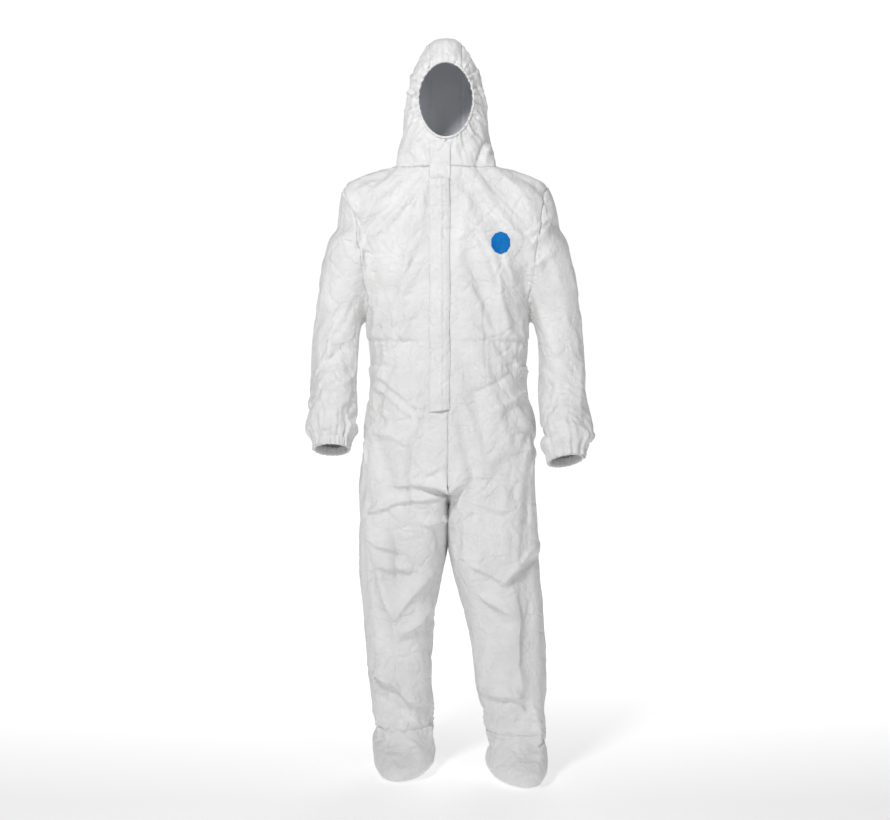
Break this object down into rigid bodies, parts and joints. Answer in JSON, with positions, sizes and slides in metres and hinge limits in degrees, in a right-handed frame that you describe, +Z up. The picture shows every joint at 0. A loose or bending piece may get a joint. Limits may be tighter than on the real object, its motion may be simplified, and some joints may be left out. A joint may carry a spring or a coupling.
{
  "type": "hooded protective coverall",
  "caption": "White hooded one-piece protective coverall with elastic face opening, covered front zip, elastic waist and cuffs and closed sock feet, standing as worn.",
  "frame": {"origin": "on the floor midway between the outer edges of the suit as it stands, below its mid depth", "axes": "+Z up, the front faces -Y, the wearer's left is +X"},
  "size_m": [0.6992, 0.3722, 1.84],
  "materials": {
    "suit_fabric": "crinkled flash-spun nonwoven, white outside and dark grey inside",
    "sole_fabric": "the same nonwoven, worn slightly smoother",
    "elastic": "covered knitted elastic",
    "zip_plastic": "white nylon coil and moulded slider",
    "zip_tape": "white woven polyester tape",
    "badge": "flat blue printed patch, no lettering",
    "label": "blank satin label",
    "binding": "narrow folded nonwoven binding",
    "adhesive": "pale double-sided tape"
  },
  "bodies": {
    "torso": {"front_left_panel": "suit_fabric", "front_right_panel": "suit_fabric", "back_left_panel": "suit_fabric", "back_right_panel": "suit_fabric", "left_sleeve_head": "suit_fabric", "right_sleeve_head": "suit_fabric", "waist_elastic": "elastic", "waist_tunnel": "suit_fabric", "crotch_gusset": "suit_fabric", "zip_tape_left": "zip_tape", "zip_tape_right": "zip_tape", "zip_coil_left": "zip_plastic", "zip_coil_right": "zip_plastic", "zip_top_stops": "zip_plastic", "zip_bottom_stop": "zip_plastic", "chest_badge": "badge", "neck_binding": "binding", "neck_label": "label"},
    "slider": {"zip_slider": "zip_plastic"},
    "tab": {"pull_tab": "zip_plastic"},
    "flap": {"storm_flap": "suit_fabric", "flap_piping": "suit_fabric", "flap_adhesive": "adhesive"},
    "hood": {"hood_left_panel": "suit_fabric", "hood_right_panel": "suit_fabric", "hood_centre_panel": "suit_fabric", "face_hem": "suit_fabric", "face_elastic": "elastic", "chin_flap": "suit_fabric"},
    "left_arm": {"left_sleeve": "suit_fabric", "left_cuff_hem": "suit_fabric", "left_cuff_elastic": "elastic"},
    "right_arm": {"right_sleeve": "suit_fabric", "right_cuff_hem": "suit_fabric", "right_cuff_elastic": "elastic"},
    "left_leg": {"left_leg_front": "suit_fabric", "left_leg_back": "suit_fabric", "left_sock_upper": "suit_fabric", "left_sock_sole": "sole_fabric"},
    "right_leg": {"right_leg_front": "suit_fabric", "right_leg_back": "suit_fabric", "right_sock_upper": "suit_fabric", "right_sock_sole": "sole_fabric"}
  },
  "joints": [
    {"name": "hood_nod", "type": "hinge", "parent": "torso", "child": "hood", "pos_m": [-0.012, 0.043, 1.44], "axis": [1, 0, 0], "range_deg": [-25, 16]},
    {"name": "left_shoulder", "type": "hinge", "parent": "torso", "child": "left_arm", "pos_m": [0.194, 0.043, 1.445], "axis": [0, -1, 0], "range_deg": [0, 80]},
    {"name": "right_shoulder", "type": "hinge", "parent": "torso", "child": "right_arm", "pos_m": [-0.206, 0.043, 1.445], "axis": [0, 1, 0], "range_deg": [0, 80]},
    {"name": "left_hip", "type": "hinge", "parent": "torso", "child": "left_leg", "pos_m": [0.106, 0.043, 0.9], "axis": [-1, 0, 0], "range_deg": [-20, 45]},
    {"name": "right_hip", "type": "hinge", "parent": "torso", "child": "right_leg", "pos_m": [-0.118, 0.043, 0.9], "axis": [-1, 0, 0], "range_deg": [-20, 45]},
    {"name": "flap_swing", "type": "hinge", "parent": "torso", "child": "flap", "pos_m": [-0.001, -0.06272, 1.49026], "axis": [0, 0.0732, 0.9973], "range_deg": [0, 150]},
    {"name": "zip_slide", "type": "slide", "parent": "torso", "child": "slider", "axis": [0, -0.0732, -0.9973], "range_m": [0, 0.53]},
    {"name": "tab_swing", "type": "hinge", "parent": "slider", "child": "tab", "pos_m": [-0.024, -0.06386, 1.48152], "axis": [0, -0.9973, 0.0732], "range_deg": [-30, 30]}
  ]
}
